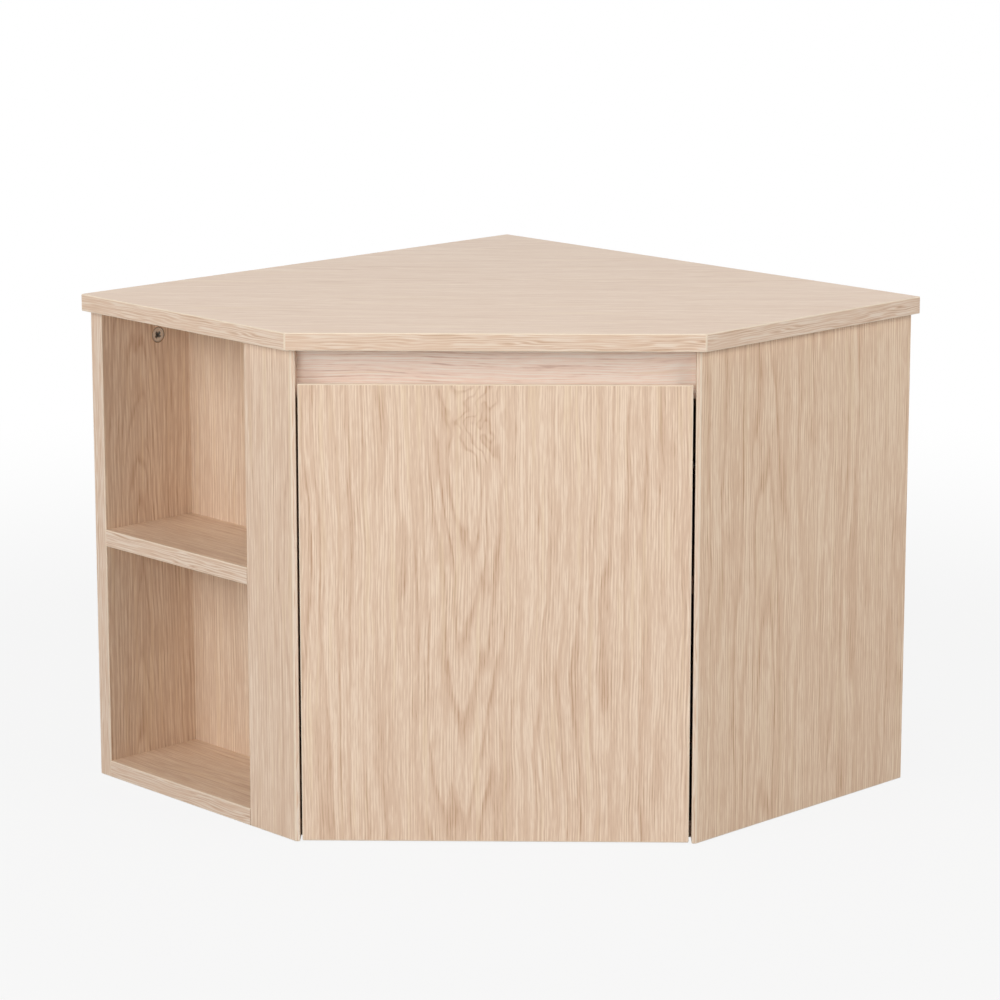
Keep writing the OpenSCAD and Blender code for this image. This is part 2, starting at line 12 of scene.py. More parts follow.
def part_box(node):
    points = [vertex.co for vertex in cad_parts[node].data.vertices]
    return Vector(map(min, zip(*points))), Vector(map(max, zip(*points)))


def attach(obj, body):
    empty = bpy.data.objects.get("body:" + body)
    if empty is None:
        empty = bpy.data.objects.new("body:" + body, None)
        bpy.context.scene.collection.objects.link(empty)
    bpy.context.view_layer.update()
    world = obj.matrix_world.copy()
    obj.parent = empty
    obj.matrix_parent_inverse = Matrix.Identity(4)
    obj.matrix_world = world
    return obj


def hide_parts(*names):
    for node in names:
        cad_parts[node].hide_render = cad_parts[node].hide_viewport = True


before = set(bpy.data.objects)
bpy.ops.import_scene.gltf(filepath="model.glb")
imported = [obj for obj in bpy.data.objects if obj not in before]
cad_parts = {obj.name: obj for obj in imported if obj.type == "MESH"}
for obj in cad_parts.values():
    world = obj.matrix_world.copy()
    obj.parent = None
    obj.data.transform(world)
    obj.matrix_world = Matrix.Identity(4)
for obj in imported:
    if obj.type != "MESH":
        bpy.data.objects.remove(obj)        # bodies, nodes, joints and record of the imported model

bl_info = {
    "name": "Corner Vanity Unit",
    "version": (1, 0, 0),
    "blender": (4, 5, 0),
    "location": "View3D > Sidebar > Vanity",
    "description": "Dresses a corner vanity unit with oak boards, fittings and a stage",
    "category": "Object",
}

# ---- Directions ----
DIAGONAL = math.sqrt(0.5)  # sine and cosine of the 45 degrees from a wall to the front
UP = Vector((0, 0, 1))
ALONG_X = Vector((1, 0, 0))
BACK = Vector((0, 1, 0))
# Along each wall away from the room's corner, and square off that wall
LEFT_OUT = Vector((-DIAGONAL, -DIAGONAL, 0))
LEFT_OFF = Vector((DIAGONAL, -DIAGONAL, 0))
RIGHT_OUT = Vector((DIAGONAL, -DIAGONAL, 0))
RIGHT_OFF = Vector((-DIAGONAL, -DIAGONAL, 0))
# Tells the two ends of a band's or a raw edge's grain apart
GRAIN_START = Vector((1.0, 0.3, 2.0))

# ---- Sizes, in metres ----
MM = 0.001
SAW_MARGIN = 10 * MM       # what a block is larger than its board all round
CUT_TOLERANCE = 0.02 * MM  # how near a face lies to the cut that made it
BEVEL_LAND = 3 * MM        # flat front part of the door's bevelled upper edge
BORE_OVERRUN = 1 * MM      # how far the tool of a bore stands out of its board
WALL_HOLE_RADIUS = 3.25 * MM
WALL_HOLE_DROP = 50 * MM   # from the underside of the top down to the wall screws
CAM_RADIUS = 7.3 * MM      # of a standard cam lock
CAM_SLIM = 0.5 * MM        # taken off it, so that a dark line shows around it
CAM_DEPTH = 12 * MM
CAM_BORE_DEPTH = 13 * MM
CAM_REACH = 30 * MM        # from the middle of a cam lock to the face of its joint
CUP_RADIUS = 17.5 * MM
CUP_RIM = 1 * MM           # what a hinge cup's rim is wider than its bore
CUP_EAR = 13 * MM          # how far the ears stand out above and below a cup
CUP_ROOM = 0.2 * MM        # gap under a cup in its bore

# ---- Finishes ----
# The finishes of a board, in the order of its material slots. The last finish is the plain
# thickness of a band, which shows as a pale line along its arris: partly the band's own
# paler edge, partly a painted highlight on the rounded arris.
FACE, BAND, CORE, EDGE = range(4)
# The dark, the middle and the pale colour of each kind of oak sheet
OAK_GROUND = ("oak_dark", "oak_mid", "oak_pale")
# Warmer copy of the oak for the right side: painted shade, the side showing less white sheen than
# the front
SIDE_SHADED_GROUND = ("side_shaded_dark", "side_shaded_mid", "side_shaded_pale")
# Darker copy of the oak for the boards round the niche: painted shade of the niche's recess
NICHE_SHADED_GROUND = ("oak_dark", "niche_mid", "niche_shaded_pale")
# Paler, pinker copy of the oak for the rail: the pink is the sheet's own, the paleness is painted
# light on the rail in the top's shade
RAIL_LIT_GROUND = ("rail_lit_dark", "rail_lit_mid", "rail_lit_pale")


class Plan:
    """Where the boards lie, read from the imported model, in metres."""

    def __init__(self):
        low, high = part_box("top_panel")
        self.top_low = low.z
        self.top_high = high.z
        self.board = high.z - low.z
        self.corner = Vector((0, high.y, 0))
        self.wall_len = high.x / DIAGONAL
        self.side_len = 2 * high.y / DIAGONAL - self.wall_len
        low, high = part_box("right_side_panel")
        self.front_y = low.y
        self.mouth_x = low.x
        self.body_out = high.x / DIAGONAL
        self.inner_out = self.body_out - self.board
        self.inner_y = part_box("front_rail")[0].y
        self.body_off = (self.corner.y - self.front_y) / DIAGONAL - self.body_out
        self.inner_off = (self.corner.y - self.inner_y) / DIAGONAL - self.inner_out
        low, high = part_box("niche_shelf")
        self.niche_end = (self.corner.y - low.y) / DIAGONAL - self.body_out
        self.niche_out = self.niche_end - high.x / DIAGONAL
        self.cupboard_out = self.niche_out - self.board
        self.shelf_low = low.z
        self.shelf_high = high.z


PLAN = Plan()


def left(out, off, z=0.0):
    """A point by its distances along and off the left wall."""
    return PLAN.corner + LEFT_OUT * out + LEFT_OFF * off + UP * z


def right(out, off, z=0.0):
    """A point by its distances along and off the right wall."""
    return PLAN.corner + RIGHT_OUT * out + RIGHT_OFF * off + UP * z


# ---- Settings ----
class VanitySizes(bpy.types.PropertyGroup):
    """Small sizes of the boards and fittings."""

    arris: FloatProperty(
        name="Arris", description="Rounding of the banded edges", default=1.0 * MM, unit="LENGTH")
    bore_room: FloatProperty(
        name="Bore room", description="Gap around a standard cam lock in its bore",
        default=0.2 * MM, unit="LENGTH")
    cam_sunk: FloatProperty(
        name="Cam sunk", description="Depth of a cam lock's face under the board's face",
        default=0.4 * MM, unit="LENGTH")


def shade(name, description, *value):
    """A colour setting."""
    return FloatVectorProperty(name=name, description=description, subtype="COLOR",
                               default=value)


class VanityColours(bpy.types.PropertyGroup):
    """Colours of the finishes, as scene linear values."""

    oak_pale: shade("Oak pale", "Palest lines of the oak sheet", 0.88, 0.705, 0.55)
    oak_cream: shade("Oak cream", "Yellower streaks of the oak sheet", 0.82, 0.64, 0.44)
    oak_mid: shade("Oak", "Middle tone of the oak sheet", 0.72, 0.522, 0.382)
    oak_dark: shade("Oak dark", "Pores and ring lines of the oak sheet", 0.51, 0.315, 0.20)
    # The side's colours are a warmer copy of the oak: painted shade, standing in for the weaker
    # sheen on that side
    side_shaded_pale: shade("Side pale", "Palest lines of the right side's warmer sheet",
                     0.885, 0.70, 0.525)
    side_shaded_mid: shade("Side", "Middle tone of the right side's sheet", 0.73, 0.515, 0.36)
    side_shaded_dark: shade("Side dark", "Pores and ring lines of the right side's sheet",
                     0.52, 0.31, 0.18)
    # The niche's colours are a darker copy of the oak: painted shade of the niche's recess
    niche_shaded_pale: shade("Niche pale", "Palest lines of the sheets round the niche",
                      0.84, 0.675, 0.52)
    niche_mid: shade("Niche", "Middle tone of the sheets round the niche", 0.68, 0.495, 0.36)
    # The rail's colours are pinker, which is the sheet's own, and paler, which is painted light
    # where the top's overhang shades the rail
    rail_lit_pale: shade("Rail pale", "Palest lines of the rail's pinker sheet", 0.95, 0.85, 0.755)
    rail_lit_mid: shade("Rail", "Middle tone of the rail's sheet", 0.91, 0.735, 0.625)
    rail_lit_dark: shade("Rail dark", "Pores and ring lines of the rail's sheet", 0.66, 0.46, 0.37)
    band_pale: shade("Band pale", "Palest tone of the edge bands", 0.82, 0.675, 0.55)
    # Partly the bands' own paler thickness, partly a painted highlight along their rounded arrises
    edge_and_highlight: shade("Edge pale", "Plain thickness of the edge bands", 0.87, 0.72, 0.56)
    core_chip: shade("Chip", "Chips of the board's core", 0.68, 0.475, 0.32)
    nickel: shade("Nickel", "Plated steel of hinges and screws", 0.66, 0.65, 0.62)
    zinc: shade("Zinc", "Die-cast cam locks", 0.80, 0.77, 0.72)


class VanityStage(bpy.types.PropertyGroup):
    """Camera, lamps and surrounding light."""

    lens: FloatProperty(
        name="Lens", description="Focal length of the camera in millimetres", default=124.75)
    shift: FloatProperty(
        name="Shift", description="Vertical shift of the camera", default=-0.10)
    pitch: FloatProperty(
        name="Pitch", description="How far the camera looks down", subtype="ANGLE",
        default=math.radians(11.085))
    turn: FloatProperty(
        name="Turn", description="How far the camera turns to the left", subtype="ANGLE",
        default=math.radians(1.091))
    place: FloatVectorProperty(
        name="Place", description="Where the camera stands", subtype="TRANSLATION",
        default=(0.0606, -3.2637, 0.9885))
    lamp_turn: FloatProperty(
        name="Lamp turn", description="How far the side lamps stand round from the front",
        subtype="ANGLE", default=math.radians(50))
    lamp_height: FloatProperty(
        name="Lamp height", description="Height of the side lamps", default=1.6, unit="LENGTH")
    left_power: FloatProperty(
        name="Left power", description="Power of the left lamp", unit="POWER", default=31.0)
    right_power: FloatProperty(
        name="Right power", description="Power of the right lamp", unit="POWER", default=33.0)
    front_power: FloatProperty(
        name="Front power", description="Power of the lamp in front", unit="POWER", default=36.0)
    back_power: FloatProperty(
        name="Back power", description="Power of the lamp behind", unit="POWER", default=26.0)
    top_power: FloatProperty(
        name="Top power", description="Power of the lamp overhead", unit="POWER", default=14.5)
    ambient: FloatProperty(
        name="Ambient", description="Strength of the light from all round", default=0.16)


# ---- Shader nodes ----
class Wire:
    """One output of a shader node. Arithmetic on it adds Math nodes."""

    def __init__(self, tree, socket=None):
        self.tree = tree
        self.socket = socket

    def node(self, kind, settings=None, inputs=None, output=0):
        """Adds a node, sets its settings, fills or links its sockets, gives one output.
        Sockets go by name, or by number where a node has two of the same name."""
        made = self.tree.nodes.new(kind)
        for name, value in (settings or {}).items():
            setattr(made, name, value)
        for name, value in (inputs or {}).items():
            if isinstance(value, Wire):
                self.tree.links.new(value.socket, made.inputs[name])
            else:
                made.inputs[name].default_value = value
        return Wire(self.tree, made.outputs[output] if len(made.outputs) else None)

    def math(self, operation, *values):
        """A Math node on this value and up to two more."""
        inputs = dict(enumerate((self,) + values))
        return self.node("ShaderNodeMath", {"operation": operation}, inputs)

    def __add__(self, other):
        return self.math("ADD", other)

    def __sub__(self, other):
        return self.math("SUBTRACT", other)

    def __mul__(self, other):
        return self.math("MULTIPLY", other)

    def __truediv__(self, other):
        return self.math("DIVIDE", other)

    def __rsub__(self, other):
        return self.math("MULTIPLY", -1.0).math("ADD", other)

    __radd__ = __add__
    __rmul__ = __mul__

    def vector(self, x, y, z):
        """A vector of three values."""
        return self.node("ShaderNodeCombineXYZ", None, {0: x, 1: y, 2: z})

    def noise(self, place, detail=2.0, roughness=0.5, scale=1.0):
        """Noise of about 0.5 at a place, with its scale in steps per unit of the place."""
        return self.node("ShaderNodeTexNoise", {"noise_dimensions": "3D"},
                         {"Vector": place, "Scale": scale, "Detail": detail,
                          "Roughness": roughness})

    def object_place(self):
        """The place on a piece in its own coordinates, in metres."""
        return self.node("ShaderNodeTexCoord", output="Object")

    def swing(self, reach):
        """Noise of about 0.5 turned into a swing to both sides of zero."""
        return (self - 0.5) * reach

    def between(self, low, high, low_gives=0.0, high_gives=1.0):
        """Rises smoothly from low_gives to high_gives while the value goes from low to high."""
        return self.node("ShaderNodeMapRange", {"interpolation_type": "SMOOTHSTEP"},
                         {0: self, 1: low, 2: high, 3: low_gives, 4: high_gives})

    def mix(self, first, second):
        """Mixes two colours by this value."""
        return self.node("ShaderNodeMix", {"data_type": "RGBA"}, {0: self, 6: first, 7: second}, 2)

    def bump(self, height, strength):
        """Turns this value into a normal, with the height in metres."""
        return self.node("ShaderNodeBump", None,
                         {"Height": self, "Distance": height, "Strength": strength})


def colour(value, share=1.0):
    """A colour with full alpha, lightened or darkened by a share."""
    return (*(share * part for part in value), 1.0)


def new_material(name):
    """An empty node material and a first wire in its tree."""
    material = bpy.data.materials.new(name)
    material.use_nodes = True
    material.node_tree.nodes.clear()
    return material, Wire(material.node_tree)


def finish_material(wire, **inputs):
    """Ends a material with a Principled shader."""
    named = {name.replace("_", " "): value for name, value in inputs.items()}
    shader = wire.node("ShaderNodeBsdfPrincipled", None, named)
    wire.node("ShaderNodeOutputMaterial", None, {"Surface": shader})


def sheet_place(wire):
    """Distances along and across the grain of a sheet, in millimetres."""
    spot = wire.node("ShaderNodeUVMap", {"uv_map": "grain"})
    return [wire.node("ShaderNodeSeparateXYZ", None, {0: spot}, axis) / MM for axis in "XY"]


def streaks(along, across, along_rate, across_rate, seed, detail=2.0, roughness=0.5):
    """Noise drawn out along the grain, with its rates in steps per millimetre."""
    place = along.vector(along * along_rate, across * across_rate, seed)
    return along.noise(place, detail, roughness)


def graded(tone, dark, mid, pale, pale_at):
    """Colours a tone from dark over mid to pale, which it reaches at pale_at."""
    base = tone.between(-0.15, 0.55).mix(dark, mid)
    return tone.between(0.5, pale_at).mix(base, pale)


# How far the lines of an oak sheet stray, in millimetres, and its rings, in rings
RIPPLE, SHUFFLE, JAG = 1.4, 6.0, 70.0
DRIFT, FIGURE_DRIFT = 7.0, 4.0
TIP_ROUNDING = 220.0       # of an arch's tip, in square millimetres
# A knot's length over its width, the largest size that bends no ring, and how many
# rings each further millimetre bends
KNOT_STRETCH, PLAIN_KNOT, KNOT_RINGS = 1.5, 8.0, 0.3
# What each part adds to the tone of a sheet, or takes from it
FIBRES, PORES, BANDS, LINES, BREAKS, BRUISES = 1.2, 1.7, 0.6, 0.4, 0.1, 0.22
HAIR_LIFT, TONE_LIFT = 0.14, 0.63


def knot_bulge(along, across, line_place, knot, seed):
    """1 in the middle of a knot (along, across, size), falling off unevenly around it."""
    knot_along, knot_across, size = knot
    tangle = streaks(along, across, 0.05, 0.07, seed + knot_along, 1.0)
    reach_along = (along - knot_along) / (size * KNOT_STRETCH)
    reach_across = (line_place - knot_across) / size
    bulge = ((reach_along * reach_along + reach_across * reach_across) * -1.0).math("EXPONENT")
    return bulge * tangle.between(0.2, 0.8, 0.5, 1.0)


def oak_sheet(name, seed, figure=None, knots=(), ring_gap=9.0, sway=12.0, hair_gap=2.6,
              depth=1.0, yellow=0.35, ground=OAK_GROUND):
    """Printed oak sheet: ring lines with pores beside them, fine fibres, long streaks and
    broad bands of tone. A figure is (along, across, width, gap) of arched rings, with a
    tip in every gap; they point against the grain where the gap is above zero. Knots are
    (along, across, size)."""
    tones = bpy.context.scene.vanity_colours
    material, wire = new_material(name)
    along, across = sheet_place(wire)
    wave = streaks(along, across, 0.005, 0.011, seed)
    ripple = streaks(along, across, 0.02, 0.05, seed + 3.1)
    line_place = across + wave.swing(sway) + ripple.swing(RIPPLE)
    shuffle = streaks(along, across, 0.004, 0.13, seed + 11.0)
    hair = ((line_place + shuffle.swing(SHUFFLE)) * (2.0 * math.pi / hair_gap)).math("SINE")
    calm = streaks(along, line_place, 0.012, 0.09, seed + 21.0, 1.0)
    fibre = streaks(along, line_place, 0.006, 0.2, seed + 13.0, 3.0, 1.0)
    band = streaks(along, line_place, 0.004, 0.05, seed + 17.0)
    drift = streaks(along, line_place, 0.003, 0.03, seed + 5.5)
    steps = line_place / ring_gap + drift.swing(DRIFT)
    strength = drift.between(0.4, 0.6, 0.15, 0.9)
    if figure:
        middle_along, middle_across, width, tip_gap = figure
        aside = line_place - middle_across
        near = (aside * aside * (-1.0 / (width * width))).math("EXPONENT")
        jag = streaks(along, line_place, 0.012, 0.06, seed + 7.7, 4.0)
        arch = (aside * aside + TIP_ROUNDING).math("SQRT") / ring_gap
        rise = (along - middle_along + jag.swing(JAG)) / tip_gap
        steps = arch - near * rise + drift.swing(FIGURE_DRIFT)
        strength = near.between(0.0, 0.6).math("MAXIMUM", strength)
    bruise = 0.0
    for knot in knots:
        bulge = knot_bulge(along, across, line_place, knot, seed)
        steps = steps + bulge * max(0.0, (knot[2] - PLAIN_KNOT) * KNOT_RINGS)
        bruise = bulge + bruise
    if knots:
        strength = strength * (1.0 - bruise * 0.5)
    phase = steps.math("FRACT")
    line = phase.between(0.0, 0.35, 1.0, 0.0).math("MAXIMUM", phase.between(0.82, 1.0))
    zone = phase.between(0.0, 0.6, 1.0, 0.25)
    pore = streaks(along, line_place, 0.035, 0.6, seed + 15.0, 2.0, 0.8)
    broken = pore.between(0.4, 0.62)
    cream = streaks(along, line_place, 0.006, 0.16, seed + 19.0)
    tone = hair * calm.between(0.35, 0.65, 0.06, 0.26) + fibre.swing(FIBRES) + HAIR_LIFT
    tone = tone + pore.swing(PORES) + band.swing(BANDS)
    tone = tone - line * strength * LINES - broken * zone * BREAKS
    if knots:
        tone = tone - bruise * BRUISES
    tone = tone * depth + TONE_LIFT
    base = graded(tone, *(colour(getattr(tones, part)) for part in ground), 1.15)
    base = (cream.between(0.56, 0.68) * yellow).mix(base, colour(tones.oak_cream))
    finish_material(wire, Base_Color=base, Roughness=tone.between(0.0, 1.0, 0.4, 0.34),
                    Specular_IOR_Level=0.42, Normal=tone.bump(0.02 * MM, 0.5))
    return material


def oak_band(name, seed=21.0):
    """Edge band with hairlines of grain along its run, on a pale ground."""
    tones = bpy.context.scene.vanity_colours
    material, wire = new_material(name)
    along, across = sheet_place(wire)
    warp = streaks(along, across, 0.02, 0.06, seed, 1.5)
    moved = across + warp.swing(6.0)
    dash = streaks(along, moved, 0.015, 0.5, seed + 2.0, 2.0, 0.9)
    shuffle = streaks(along, across, 0.015, 0.3, seed + 4.0)
    fine = ((moved + shuffle.swing(7.0)) * 2.6).math("SINE")
    patch = streaks(along, across, 0.015, 0.05, seed + 6.0, 1.0)
    tone = dash.swing(1.4) + fine * patch.between(0.35, 0.65, 0.15, 0.45) + 0.68
    base = graded(tone, colour(tones.oak_dark), colour(tones.oak_mid), colour(tones.band_pale),
                  1.1)
    finish_material(wire, Base_Color=base, Roughness=0.42, Normal=tone.bump(0.03 * MM, 0.4))
    return material


def band_edge(name):
    """The plain thickness of the edge bands, pale and slightly glossy: partly their own paler edge,
    partly a painted highlight on the rounded arris.
    """
    tones = bpy.context.scene.vanity_colours
    material, wire = new_material(name)
    cloud = streaks(*sheet_place(wire), 0.05, 0.6, 5.0)
    base = cloud.between(0.35, 0.65).mix(colour(tones.edge_and_highlight), colour(tones.edge_and_highlight, 0.9))
    finish_material(wire, Base_Color=base, Roughness=0.34, Normal=cloud.bump(0.02 * MM, 0.3))
    return material


def chip_core(name):
    """Particle board: flat chips of many tones and the fine gaps between them."""
    chip = bpy.context.scene.vanity_colours.core_chip
    material, wire = new_material(name)
    along, across = sheet_place(wire)
    cells = {"Vector": wire.vector(along * 0.35, across * 1.1, 0.0), "Scale": 1.0}
    chips = wire.node("ShaderNodeTexVoronoi", {"voronoi_dimensions": "3D", "feature": "F1"},
                      cells, "Color")
    tone = wire.node("ShaderNodeSeparateColor", None, {0: chips})
    edge = wire.node("ShaderNodeTexVoronoi",
                     {"voronoi_dimensions": "3D", "feature": "DISTANCE_TO_EDGE"}, cells)
    gap = edge.between(0.0, 0.09, 1.0, 0.0)
    base = (tone * 0.55).mix(colour(chip), colour(chip, 1.35))
    base = (gap * 0.6).mix(base, colour(chip, 0.45))
    finish_material(wire, Base_Color=base, Roughness=0.9, Normal=(gap * -1.0).bump(0.3 * MM, 0.8))
    return material


def cast_metal(name, tint, rough, grain_size, bump, metallic=1.0):
    """Metal with a fine mottled surface. A dull cast skin is less than fully metallic."""
    material, wire = new_material(name)
    spot = wire.object_place()
    mottle = wire.noise(spot, 3.0, scale=1 / grain_size)
    cloud = wire.noise(spot, scale=0.12 / grain_size)
    base = mottle.between(0.3, 0.7).mix(colour(tint, 0.82), colour(tint))
    finish_material(wire, Base_Color=base, Metallic=metallic,
                    Roughness=cloud.between(0.3, 0.7, rough - 0.06, rough + 0.08),
                    Normal=mottle.bump(bump, 0.35))
    return material


def soft_plastic(name):
    """Clear soft plastic of the door's bumpers."""
    material, wire = new_material(name)
    cloud = wire.noise(wire.object_place(), scale=400.0)
    base = cloud.between(0.3, 0.7).mix((0.80, 0.80, 0.78, 1.0), (0.88, 0.88, 0.87, 1.0))
    finish_material(wire, Base_Color=base, Roughness=0.25, Transmission_Weight=0.5)
    return material


def turned_wood(name):
    """Plain beech of the dowels, with fine darker flecks."""
    material, wire = new_material(name)
    fleck = wire.noise(wire.object_place(), scale=900.0)
    base = fleck.between(0.4, 0.7).mix((0.74, 0.56, 0.36, 1.0), (0.58, 0.41, 0.25, 1.0))
    finish_material(wire, Base_Color=base, Roughness=0.6, Normal=fleck.bump(0.1 * MM, 0.4))
    return material


# ---- Modelling ----
def start_fresh():
    """Leaves nothing selected, so that a tool acts on the new piece alone."""
    bpy.ops.object.select_all(action="DESELECT")


def bake_place():
    """Moves the place, turn and scale of the active piece into its mesh and gives it."""
    bpy.ops.object.transform_apply(location=True, rotation=True, scale=True)
    return bpy.context.object


def add_block(name, low, high):
    """A block between two corners, with its place in its mesh."""
    start_fresh()
    bpy.ops.mesh.primitive_cube_add(size=1, location=(low + high) / 2)
    block = bpy.context.object
    block.name = name
    block.scale = high - low
    return bake_place()


def add_rod(name, start, along, radius, sides=48):
    """A cylinder from a point along a vector, with its place in its mesh."""
    start_fresh()
    turn = along.to_track_quat("Z", "Y").to_euler()
    bpy.ops.mesh.primitive_cylinder_add(vertices=sides, radius=radius, depth=along.length,
                                        location=start + along / 2, rotation=turn)
    bpy.context.object.name = name
    return bake_place()


def make_active(piece):
    """Selects one piece alone and makes it the active one."""
    start_fresh()
    piece.select_set(True)
    bpy.context.view_layer.objects.active = piece


def join(pieces, name):
    """Joins pieces into the first of them."""
    make_active(pieces[0])
    for piece in pieces:
        piece.select_set(True)
    bpy.ops.object.join()
    pieces[0].name = name
    return pieces[0]


def need_faces(piece):
    """Stops the step when a cut has left nothing of a piece."""
    if not piece.data.polygons:
        raise RuntimeError("a cut has left nothing of " + piece.name)


def take_out(piece, tool):
    """Cuts a tool's shape out of a piece and deletes the tool."""
    make_active(piece)
    hole = piece.modifiers.new("hole", "BOOLEAN")
    hole.operation = "DIFFERENCE"
    hole.solver = "EXACT"
    hole.object = tool
    bpy.ops.object.modifier_apply(modifier=hole.name)
    bpy.data.objects.remove(tool)
    need_faces(piece)


def outline_cuts(outline, kinds):
    """One upright cut for each side of an outline: a point, the outward normal, the finish."""
    middle = sum(outline, Vector()) / len(outline)
    cuts = []
    for start, end, kind in zip(outline, outline[1:] + outline[:1], kinds):
        normal = (end - start).cross(UP).normalized()
        if (middle - start).dot(normal) > 0:
            normal.negate()
        cuts.append((start, normal, kind))
    return cuts


def saw_board(name, outline, kinds, levels, more_cuts=()):
    """Saws a board out of a block, one straight cut for each of its sides. The levels are
    its two heights and the finishes there. Gives the board and its cuts."""
    low_z, high_z, low_kind, high_kind = levels
    cuts = outline_cuts(outline, kinds)
    cuts += [(UP * low_z, -UP, low_kind), (UP * high_z, UP, high_kind), *more_cuts]
    margin = Vector((SAW_MARGIN, SAW_MARGIN, SAW_MARGIN))
    low = Vector((min(p.x for p in outline), min(p.y for p in outline), low_z))
    high = Vector((max(p.x for p in outline), max(p.y for p in outline), high_z))
    board = add_block(name, low - margin, high + margin)
    bpy.ops.object.mode_set(mode="EDIT")
    for point, normal, _ in cuts:
        bpy.ops.mesh.select_all(action="SELECT")
        bpy.ops.mesh.bisect(plane_co=point, plane_no=normal, use_fill=True, clear_outer=True)
    bpy.ops.object.mode_set(mode="OBJECT")
    need_faces(board)
    return board, cuts


def take_notch(board, outline, low_z, high_z):
    """Cuts an upright notch out of a board."""
    notch, _ = saw_board("notch", outline, [CORE] * len(outline), (low_z, high_z, CORE, CORE))
    take_out(board, notch)


def name_finishes(board, cuts):
    """Gives each face the finish of the cut that it lies on; bores show the core."""
    for face in board.data.polygons:
        face.material_index = CORE
        for point, normal, kind in cuts:
            on_cut = abs((face.center - point).dot(normal)) < CUT_TOLERANCE
            if on_cut and face.normal.dot(normal) > 0.999:
                face.material_index = kind


def round_bands(board, radius):
    """Rounds the arrises of the edge bands."""
    least_angle = math.radians(20)
    make_active(board)
    bpy.ops.object.mode_set(mode="EDIT")
    bpy.ops.mesh.select_mode(type="EDGE")
    bpy.ops.mesh.select_all(action="DESELECT")
    mesh = bmesh.from_edit_mesh(board.data)
    for edge in mesh.edges:
        finishes = [face.material_index for face in edge.link_faces]
        banded = BAND in finishes and CORE not in finishes and len(finishes) == 2
        edge.select_set(banded and edge.calc_face_angle() > least_angle)
    bmesh.update_edit_mesh(board.data)
    bpy.ops.mesh.bevel(offset=radius, segments=4, affect="EDGES", material=EDGE)
    bpy.ops.object.mode_set(mode="OBJECT")


def lay_grain(board, grain):
    """Maps each face in metres along and across its grain. Sheets follow the board's
    grain, and bands and raw edges follow their own longest side."""
    mesh = board.data
    layer = mesh.uv_layers[0] if mesh.uv_layers else mesh.uv_layers.new()
    layer.name = "grain"
    for face in mesh.polygons:
        along = grain - face.normal * grain.dot(face.normal)
        if face.material_index != FACE or along.length < 0.5:
            corners = [mesh.vertices[i].co for i in face.vertices]
            sides = [b - a for a, b in zip(corners, corners[1:] + corners[:1])]
            along = max(sides, key=lambda side: side.length)
            if along.dot(GRAIN_START) < 0:
                along = -along
        along = along.normalized()
        across = along.cross(face.normal)
        for corner in face.loop_indices:
            spot = mesh.vertices[mesh.loops[corner].vertex_index].co
            layer.data[corner].uv = (spot.dot(along), spot.dot(across))


def finish_board(board, cuts, grain, sheet, node, body="carcass"):
    """Rounds, maps and paints a sawn board, and stands it in for its CAD node."""
    name_finishes(board, cuts)
    board.data.materials.append(sheet)
    for name, make in (("oak_band", oak_band), ("chip_core", chip_core), ("band_edge", band_edge)):
        board.data.materials.append(bpy.data.materials.get(name) or make(name))
    round_bands(board, bpy.context.scene.vanity_sizes.arris)
    lay_grain(board, grain)
    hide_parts(node)
    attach(board, body)


def body_cam_places():
    """Each cam lock: the middle of its face, the way it faces, and the way to its joint."""
    left_cams, right_cams = (81 * MM, 302 * MM), (80 * MM, 460 * MM)
    niche_cam, side_cams = 67 * MM, (60 * MM, 220 * MM)
    board, inner, top = PLAN.board, PLAN.inner_out, PLAN.top_low
    half = board / 2
    partition = PLAN.niche_out - half
    post_mid = (PLAN.niche_end + board + PLAN.inner_off) / 2
    niche_mid = (board + PLAN.niche_end) / 2
    down = -UP
    joints = [(left(out, half, top), UP, LEFT_OFF)
              for out in (PLAN.body_out - niche_cam, *left_cams)]
    joints += [(right(inner + half, off, top), UP, -RIGHT_OUT) for off in side_cams]
    joints += [(left(inner + half, post_mid, top), UP, -LEFT_OUT),
               (left(partition, niche_mid, top), UP, -LEFT_OUT)]
    joints += [(right(out, half, top), UP, RIGHT_OFF) for out in right_cams]
    joints += [(Vector((0, PLAN.inner_y + half, top)), UP, BACK)]
    joints += [(right(inner, off, half), RIGHT_OUT, down) for off in side_cams]
    joints += [(left(out, board, half), -LEFT_OFF, down) for out in left_cams]
    joints += [(left(inner, post_mid, half), LEFT_OUT, down)]
    joints += [(right(out, board, half), -RIGHT_OFF, down) for out in right_cams]
    for z in (top / 4, top * 3 / 4):
        joints += [(right(inner, half, z), RIGHT_OUT, RIGHT_OFF),
                   (right(board, half, z), -RIGHT_OUT, RIGHT_OFF),
                   (left(partition, board, z), -LEFT_OFF, -LEFT_OUT)]
    return [(point - along * CAM_REACH + normal * half, normal, along)
            for point, along, normal in joints]


def wall_hole_places():
    """Each wall screw hole: a point on the wall's plane and the way into the room."""
    left_holes, right_holes = (173 * MM, 389 * MM), (130 * MM, 410 * MM)
    height = PLAN.top_low - WALL_HOLE_DROP
    return ([(left(out, 0, height), LEFT_OFF) for out in left_holes]
            + [(right(out, 0, height), RIGHT_OFF) for out in right_holes])


def take_bores(board):
    """Cuts the bores of the cam locks and the wall screws out of a board."""
    cam_bore = CAM_RADIUS + bpy.context.scene.vanity_sizes.bore_room
    tools = [add_rod("bore", spot + normal * BORE_OVERRUN,
                     -normal * (CAM_BORE_DEPTH + BORE_OVERRUN), cam_bore)
             for spot, normal, _ in body_cam_places()]
    tools += [add_rod("bore", spot - way * BORE_OVERRUN, way * (PLAN.board + 2 * BORE_OVERRUN),
                      WALL_HOLE_RADIUS)
              for spot, way in wall_hole_places()]
    take_out(board, join(tools, "fitting_bores"))


